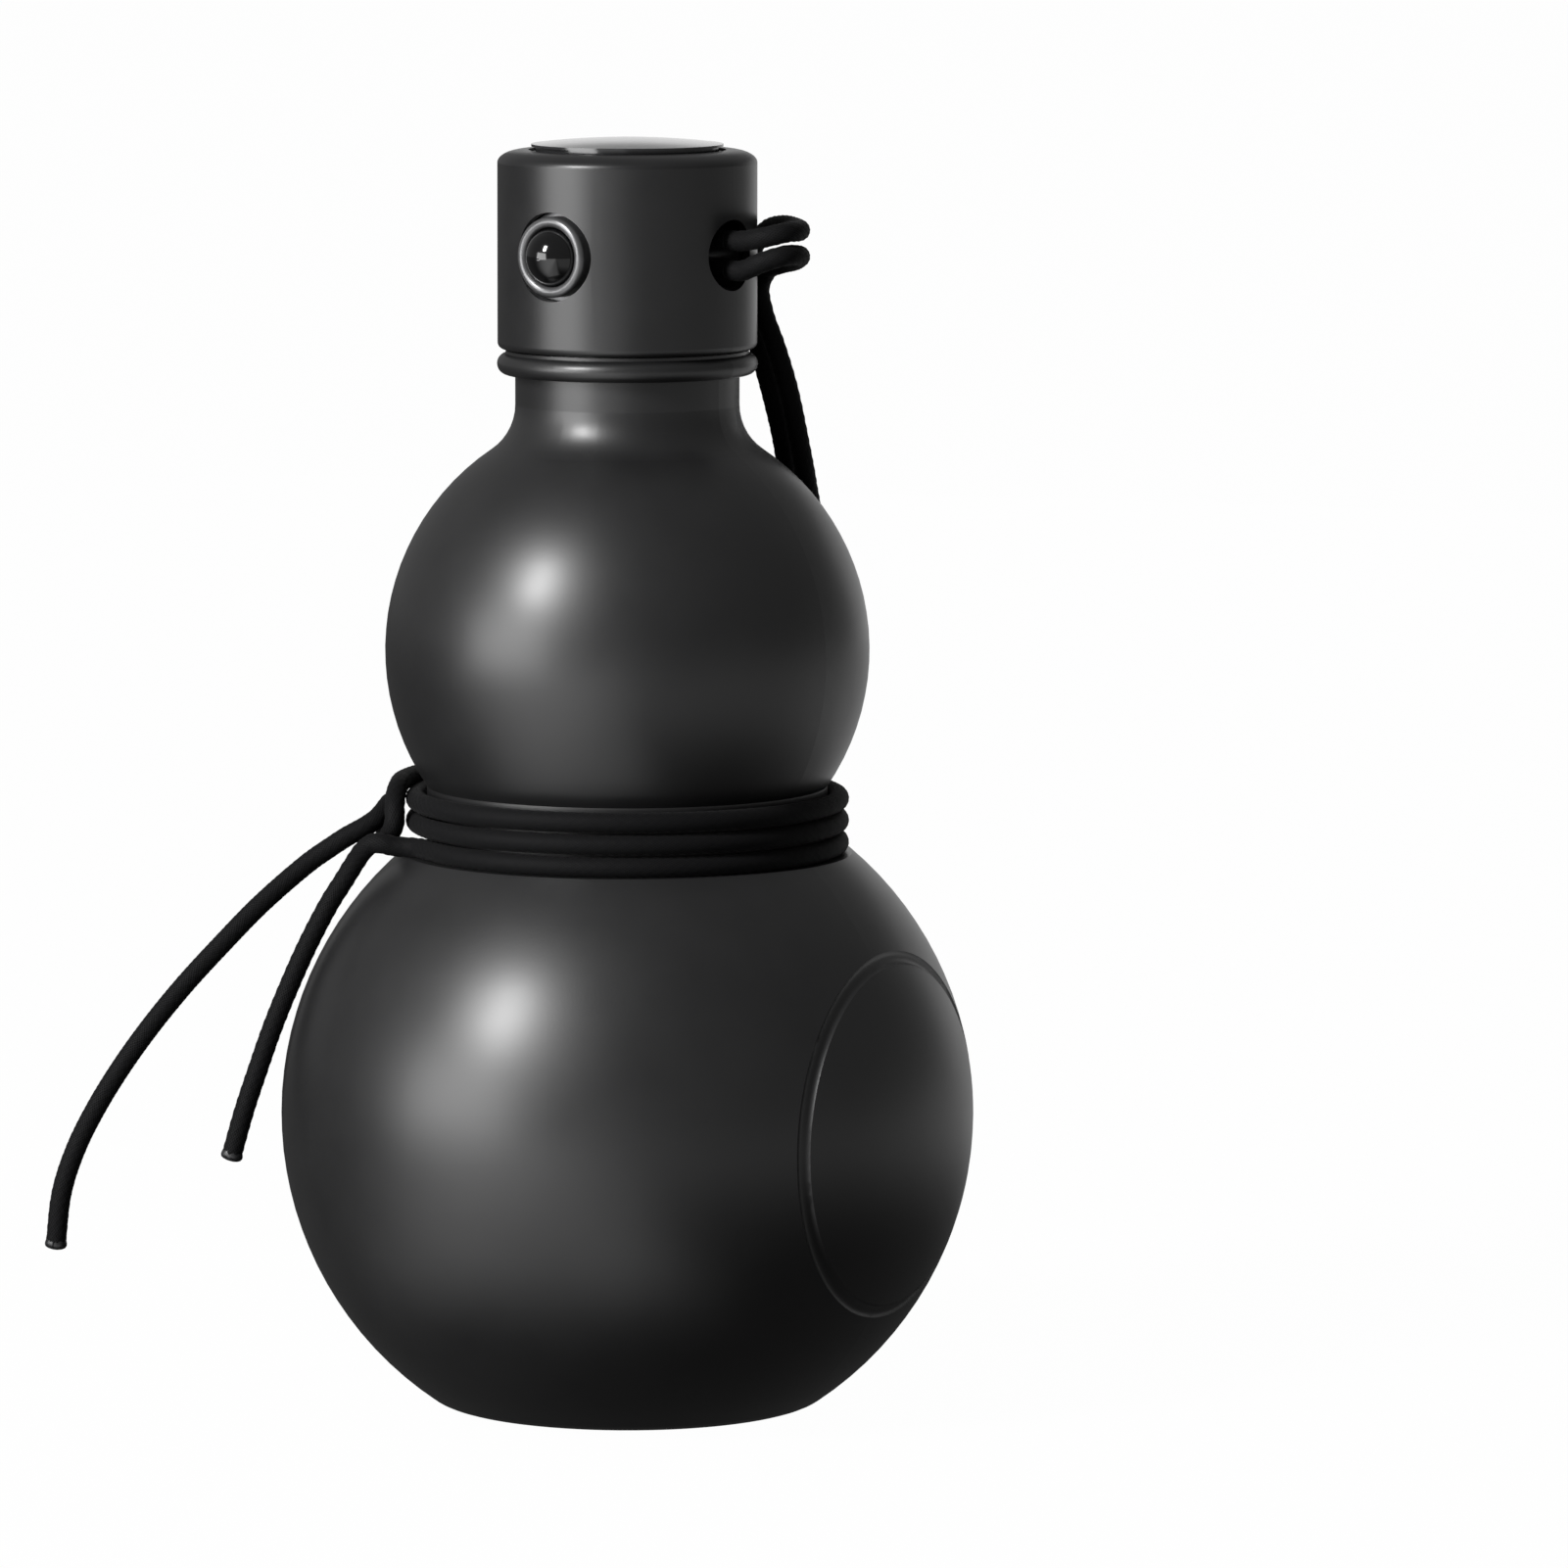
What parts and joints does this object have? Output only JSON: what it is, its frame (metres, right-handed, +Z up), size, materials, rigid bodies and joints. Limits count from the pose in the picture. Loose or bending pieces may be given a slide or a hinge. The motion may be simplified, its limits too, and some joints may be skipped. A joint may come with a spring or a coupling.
{
  "type": "gourd water bottle",
  "caption": "Gourd-shaped double-walled steel bottle with a screw cap, a flip lid released by a side button over a drinking spout, and a cord tied round its waist.",
  "frame": {"origin": "centre of the bottle's foot on the surface that it stands on", "axes": "+Z up along the bottle axis, the button faces -Y, the cord hole faces +X, the lid is hinged at +Y"},
  "size_m": [0.1252, 0.1242, 0.2076],
  "materials": {
    "powder_coat": "matte black powder coat with a fine grain",
    "steel": "brushed stainless steel",
    "pad_rubber": "matt black rubber",
    "getter": "sintered grey metal",
    "braze": "brazed glass-metal seal",
    "silicone": "translucent white silicone",
    "cap_plastic": "fine matte black plastic",
    "core_plastic": "dark grey food-grade plastic",
    "lid_satin": "satin black plastic",
    "bezel": "satin dark grey ring",
    "button_gloss": "glossy black dome",
    "spring_steel": "bright spring steel",
    "cord": "black braided cord"
  },
  "bodies": {
    "bottle": {"outer_shell": "powder_coat", "inner_liner": "steel", "base_plate": "steel", "foot_pad": "pad_rubber", "vacuum_getter": "getter", "vacuum_plug": "braze", "cord_strand_outer": "cord", "cord_strand_inner": "cord", "cord_back_run": "cord", "cord_waist_turns": "cord", "cord_knot": "cord", "cord_tail_long": "cord", "cord_tail_short": "cord"},
    "seal": {"mouth_seal": "silicone"},
    "cap": {"cap_shell": "cap_plastic", "cap_core": "core_plastic", "spout": "core_plastic", "spout_seal": "silicone", "cap_tray": "core_plastic", "tray_screws": "spring_steel", "lid_hinge_pin": "spring_steel", "lid_spring": "spring_steel", "button_bezel": "bezel", "button_guide": "core_plastic", "button_spring": "spring_steel", "cord_pin": "core_plastic", "cord_bight": "cord"},
    "lid": {"flip_lid": "cap_plastic", "lid_disc": "lid_satin", "lid_plug": "silicone"},
    "button": {"push_button": "button_gloss", "latch_bar": "spring_steel"}
  },
  "joints": [
    {"name": "cap_lift", "type": "slide", "parent": "bottle", "child": "seal", "axis": [0, 0, 1], "range_m": [0, 0.0072], "deforming": ["cord_strand_outer", "cord_strand_inner"]},
    {"name": "cap_turn", "type": "hinge", "parent": "seal", "child": "cap", "pos_m": [0, 0, 0.18], "axis": [0, 0, 1], "range_deg": [0, 720]},
    {"name": "lid_hinge", "type": "hinge", "parent": "cap", "child": "lid", "pos_m": [0, 0.017, 0.2048], "axis": [-1, 0, 0], "range_deg": [0, 110]},
    {"name": "button_press", "type": "slide", "parent": "cap", "child": "button", "axis": [0, 1, 0], "range_m": [0, 0.0016], "stiffness_N_per_m": 500, "deforming": ["button_spring"]}
  ],
  "couplings": [
    {"joint": "cap_lift", "follows": "cap_turn", "m_per_rad": 0.00057296}
  ]
}
